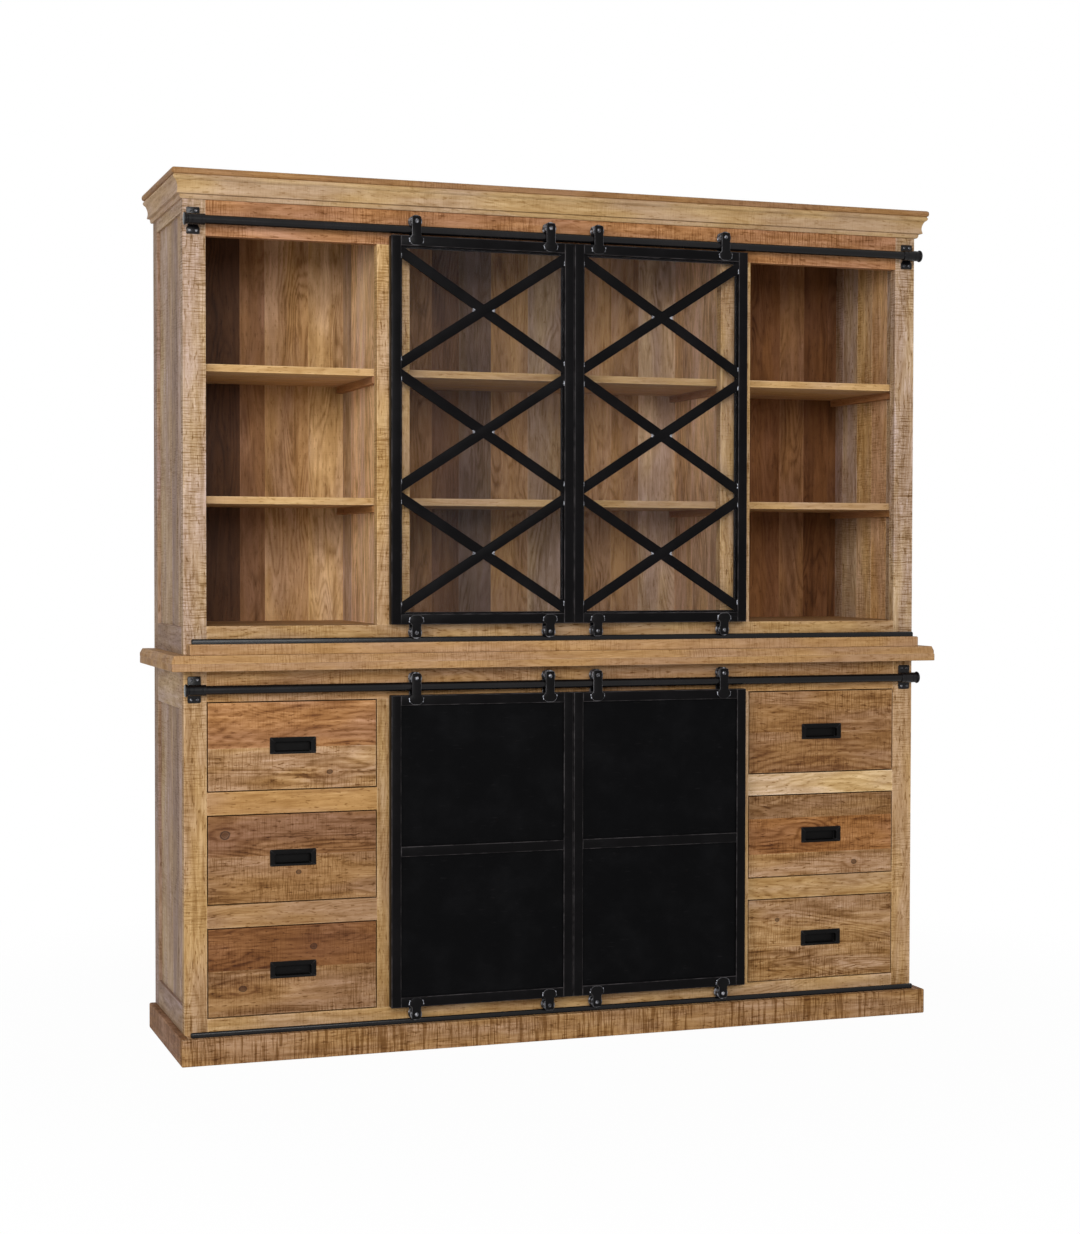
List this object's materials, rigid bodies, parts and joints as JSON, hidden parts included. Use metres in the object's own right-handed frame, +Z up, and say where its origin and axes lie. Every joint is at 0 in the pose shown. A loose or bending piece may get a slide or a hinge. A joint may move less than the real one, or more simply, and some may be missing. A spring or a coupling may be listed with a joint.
{
  "type": "glass cabinet",
  "caption": "Wooden display cabinet in two cases: glazed steel lattice doors and steel sheet doors slide on wheels along rods, between open bays above and drawers below.",
  "frame": {"origin": "on the floor, at the middle of the overall width and depth", "axes": "+X to the viewer's right along the width, +Y from the front to the back, +Z up"},
  "size_m": [2.091, 0.501, 2.2],
  "materials": {
    "honey_wood": "waxed, planed smooth",
    "frame_wood": "waxed, with saw marks",
    "side_wood": "waxed, with saw marks",
    "inner_wood": "waxed",
    "back_wood": "waxed, upright planks of mixed colour",
    "plinth_wood": "waxed, with rough saw marks",
    "drawer_wood": "waxed, glued up from planks",
    "black_steel": "satin black, welded",
    "black_sheet": "satin black sheet",
    "clear_glass": "clear"
  },
  "bodies": {
    "carcass": {"plinth": "plinth_wood", "lower_face_frame": "frame_wood", "lower_sides": "side_wood", "lower_partitions": "inner_wood", "lower_back": "back_wood", "drawer_runners": "inner_wood", "worktop": "honey_wood", "upper_ledge": "honey_wood", "upper_face_frame": "frame_wood", "upper_sides": "side_wood", "upper_partitions": "inner_wood", "upper_back": "back_wood", "shelves": "inner_wood", "cornice": "honey_wood", "rods": "black_steel", "rod_brackets": "black_steel", "bracket_screws": "black_steel", "guide_bars": "black_steel"},
    "glass_door_left": {"glass_door_left_frame": "black_steel", "glass_door_left_hangers": "black_steel", "glass_door_left_lattice": "black_steel", "glass_door_left_pane": "clear_glass"},
    "glass_door_left_wheel_top_outer": {"glass_door_left_wheel_top_outer": "black_steel"},
    "glass_door_left_wheel_top_inner": {"glass_door_left_wheel_top_inner": "black_steel"},
    "glass_door_left_wheel_bottom_outer": {"glass_door_left_wheel_bottom_outer": "black_steel"},
    "glass_door_left_wheel_bottom_inner": {"glass_door_left_wheel_bottom_inner": "black_steel"},
    "glass_door_right": {"glass_door_right_frame": "black_steel", "glass_door_right_hangers": "black_steel", "glass_door_right_lattice": "black_steel", "glass_door_right_pane": "clear_glass"},
    "glass_door_right_wheel_top_outer": {"glass_door_right_wheel_top_outer": "black_steel"},
    "glass_door_right_wheel_top_inner": {"glass_door_right_wheel_top_inner": "black_steel"},
    "glass_door_right_wheel_bottom_outer": {"glass_door_right_wheel_bottom_outer": "black_steel"},
    "glass_door_right_wheel_bottom_inner": {"glass_door_right_wheel_bottom_inner": "black_steel"},
    "steel_door_left": {"steel_door_left_frame": "black_steel", "steel_door_left_hangers": "black_steel", "steel_door_left_sheets": "black_sheet"},
    "steel_door_left_wheel_top_outer": {"steel_door_left_wheel_top_outer": "black_steel"},
    "steel_door_left_wheel_top_inner": {"steel_door_left_wheel_top_inner": "black_steel"},
    "steel_door_left_wheel_bottom_outer": {"steel_door_left_wheel_bottom_outer": "black_steel"},
    "steel_door_left_wheel_bottom_inner": {"steel_door_left_wheel_bottom_inner": "black_steel"},
    "steel_door_right": {"steel_door_right_frame": "black_steel", "steel_door_right_hangers": "black_steel", "steel_door_right_sheets": "black_sheet"},
    "steel_door_right_wheel_top_outer": {"steel_door_right_wheel_top_outer": "black_steel"},
    "steel_door_right_wheel_top_inner": {"steel_door_right_wheel_top_inner": "black_steel"},
    "steel_door_right_wheel_bottom_outer": {"steel_door_right_wheel_bottom_outer": "black_steel"},
    "steel_door_right_wheel_bottom_inner": {"steel_door_right_wheel_bottom_inner": "black_steel"},
    "drawer_left_low": {"drawer_left_low": "drawer_wood", "drawer_left_low_pull": "black_steel"},
    "drawer_left_middle": {"drawer_left_middle": "drawer_wood", "drawer_left_middle_pull": "black_steel"},
    "drawer_left_high": {"drawer_left_high": "drawer_wood", "drawer_left_high_pull": "black_steel"},
    "drawer_right_low": {"drawer_right_low": "drawer_wood", "drawer_right_low_pull": "black_steel"},
    "drawer_right_middle": {"drawer_right_middle": "drawer_wood", "drawer_right_middle_pull": "black_steel"},
    "drawer_right_high": {"drawer_right_high": "drawer_wood", "drawer_right_high_pull": "black_steel"}
  },
  "joints": [
    {"name": "glass_door_left_slide", "type": "slide", "parent": "carcass", "child": "glass_door_left", "axis": [1, 0, 0], "range_m": [-0.46, 0]},
    {"name": "glass_door_left_wheel_top_outer_spin", "type": "hinge", "parent": "glass_door_left", "child": "glass_door_left_wheel_top_outer", "pos_m": [-0.424, -0.22, 2.0969], "axis": [0, 1, 0], "range_deg": [-2500, 0]},
    {"name": "glass_door_left_wheel_top_inner_spin", "type": "hinge", "parent": "glass_door_left", "child": "glass_door_left_wheel_top_inner", "pos_m": [-0.06575, -0.22, 2.0969], "axis": [0, 1, 0], "range_deg": [-2500, 0]},
    {"name": "glass_door_left_wheel_bottom_outer_spin", "type": "hinge", "parent": "glass_door_left", "child": "glass_door_left_wheel_bottom_outer", "pos_m": [-0.424, -0.22, 1.0602], "axis": [0, 1, 0], "range_deg": [-2500, 0]},
    {"name": "glass_door_left_wheel_bottom_inner_spin", "type": "hinge", "parent": "glass_door_left", "child": "glass_door_left_wheel_bottom_inner", "pos_m": [-0.06575, -0.22, 1.0602], "axis": [0, 1, 0], "range_deg": [-2500, 0]},
    {"name": "glass_door_right_slide", "type": "slide", "parent": "carcass", "child": "glass_door_right", "axis": [-1, 0, 0], "range_m": [-0.46, 0]},
    {"name": "glass_door_right_wheel_top_outer_spin", "type": "hinge", "parent": "glass_door_right", "child": "glass_door_right_wheel_top_outer", "pos_m": [0.424, -0.22, 2.0969], "axis": [0, -1, 0], "range_deg": [-2500, 0]},
    {"name": "glass_door_right_wheel_top_inner_spin", "type": "hinge", "parent": "glass_door_right", "child": "glass_door_right_wheel_top_inner", "pos_m": [0.06575, -0.22, 2.0969], "axis": [0, -1, 0], "range_deg": [-2500, 0]},
    {"name": "glass_door_right_wheel_bottom_outer_spin", "type": "hinge", "parent": "glass_door_right", "child": "glass_door_right_wheel_bottom_outer", "pos_m": [0.424, -0.22, 1.0602], "axis": [0, -1, 0], "range_deg": [-2500, 0]},
    {"name": "glass_door_right_wheel_bottom_inner_spin", "type": "hinge", "parent": "glass_door_right", "child": "glass_door_right_wheel_bottom_inner", "pos_m": [0.06575, -0.22, 1.0602], "axis": [0, -1, 0], "range_deg": [-2500, 0]},
    {"name": "steel_door_left_slide", "type": "slide", "parent": "carcass", "child": "steel_door_left", "axis": [1, 0, 0], "range_m": [-0.46, 0]},
    {"name": "steel_door_left_wheel_top_outer_spin", "type": "hinge", "parent": "steel_door_left", "child": "steel_door_left_wheel_top_outer", "pos_m": [-0.424, -0.22, 0.9451], "axis": [0, 1, 0], "range_deg": [-2500, 0]},
    {"name": "steel_door_left_wheel_top_inner_spin", "type": "hinge", "parent": "steel_door_left", "child": "steel_door_left_wheel_top_inner", "pos_m": [-0.06575, -0.22, 0.9451], "axis": [0, 1, 0], "range_deg": [-2500, 0]},
    {"name": "steel_door_left_wheel_bottom_outer_spin", "type": "hinge", "parent": "steel_door_left", "child": "steel_door_left_wheel_bottom_outer", "pos_m": [-0.424, -0.22, 0.0902], "axis": [0, 1, 0], "range_deg": [-2500, 0]},
    {"name": "steel_door_left_wheel_bottom_inner_spin", "type": "hinge", "parent": "steel_door_left", "child": "steel_door_left_wheel_bottom_inner", "pos_m": [-0.06575, -0.22, 0.0902], "axis": [0, 1, 0], "range_deg": [-2500, 0]},
    {"name": "steel_door_right_slide", "type": "slide", "parent": "carcass", "child": "steel_door_right", "axis": [-1, 0, 0], "range_m": [-0.46, 0]},
    {"name": "steel_door_right_wheel_top_outer_spin", "type": "hinge", "parent": "steel_door_right", "child": "steel_door_right_wheel_top_outer", "pos_m": [0.424, -0.22, 0.9451], "axis": [0, -1, 0], "range_deg": [-2500, 0]},
    {"name": "steel_door_right_wheel_top_inner_spin", "type": "hinge", "parent": "steel_door_right", "child": "steel_door_right_wheel_top_inner", "pos_m": [0.06575, -0.22, 0.9451], "axis": [0, -1, 0], "range_deg": [-2500, 0]},
    {"name": "steel_door_right_wheel_bottom_outer_spin", "type": "hinge", "parent": "steel_door_right", "child": "steel_door_right_wheel_bottom_outer", "pos_m": [0.424, -0.22, 0.0902], "axis": [0, -1, 0], "range_deg": [-2500, 0]},
    {"name": "steel_door_right_wheel_bottom_inner_spin", "type": "hinge", "parent": "steel_door_right", "child": "steel_door_right_wheel_bottom_inner", "pos_m": [0.06575, -0.22, 0.0902], "axis": [0, -1, 0], "range_deg": [-2500, 0]},
    {"name": "drawer_left_low_slide", "type": "slide", "parent": "carcass", "child": "drawer_left_low", "axis": [0, -1, 0], "range_m": [0, 0.3]},
    {"name": "drawer_left_middle_slide", "type": "slide", "parent": "carcass", "child": "drawer_left_middle", "axis": [0, -1, 0], "range_m": [0, 0.3]},
    {"name": "drawer_left_high_slide", "type": "slide", "parent": "carcass", "child": "drawer_left_high", "axis": [0, -1, 0], "range_m": [0, 0.3]},
    {"name": "drawer_right_low_slide", "type": "slide", "parent": "carcass", "child": "drawer_right_low", "axis": [0, -1, 0], "range_m": [0, 0.3]},
    {"name": "drawer_right_middle_slide", "type": "slide", "parent": "carcass", "child": "drawer_right_middle", "axis": [0, -1, 0], "range_m": [0, 0.3]},
    {"name": "drawer_right_high_slide", "type": "slide", "parent": "carcass", "child": "drawer_right_high", "axis": [0, -1, 0], "range_m": [0, 0.3]}
  ],
  "couplings": [
    {"joint": "glass_door_left_wheel_top_outer_spin", "follows": "glass_door_left_slide", "rad_per_m": 93.458},
    {"joint": "glass_door_left_wheel_top_inner_spin", "follows": "glass_door_left_slide", "rad_per_m": 93.458},
    {"joint": "glass_door_left_wheel_bottom_outer_spin", "follows": "glass_door_left_slide", "rad_per_m": 93.458},
    {"joint": "glass_door_left_wheel_bottom_inner_spin", "follows": "glass_door_left_slide", "rad_per_m": 93.458},
    {"joint": "glass_door_right_wheel_top_outer_spin", "follows": "glass_door_right_slide", "rad_per_m": 93.458},
    {"joint": "glass_door_right_wheel_top_inner_spin", "follows": "glass_door_right_slide", "rad_per_m": 93.458},
    {"joint": "glass_door_right_wheel_bottom_outer_spin", "follows": "glass_door_right_slide", "rad_per_m": 93.458},
    {"joint": "glass_door_right_wheel_bottom_inner_spin", "follows": "glass_door_right_slide", "rad_per_m": 93.458},
    {"joint": "steel_door_left_wheel_top_outer_spin", "follows": "steel_door_left_slide", "rad_per_m": 93.458},
    {"joint": "steel_door_left_wheel_top_inner_spin", "follows": "steel_door_left_slide", "rad_per_m": 93.458},
    {"joint": "steel_door_left_wheel_bottom_outer_spin", "follows": "steel_door_left_slide", "rad_per_m": 93.458},
    {"joint": "steel_door_left_wheel_bottom_inner_spin", "follows": "steel_door_left_slide", "rad_per_m": 93.458},
    {"joint": "steel_door_right_wheel_top_outer_spin", "follows": "steel_door_right_slide", "rad_per_m": 93.458},
    {"joint": "steel_door_right_wheel_top_inner_spin", "follows": "steel_door_right_slide", "rad_per_m": 93.458},
    {"joint": "steel_door_right_wheel_bottom_outer_spin", "follows": "steel_door_right_slide", "rad_per_m": 93.458},
    {"joint": "steel_door_right_wheel_bottom_inner_spin", "follows": "steel_door_right_slide", "rad_per_m": 93.458}
  ]
}
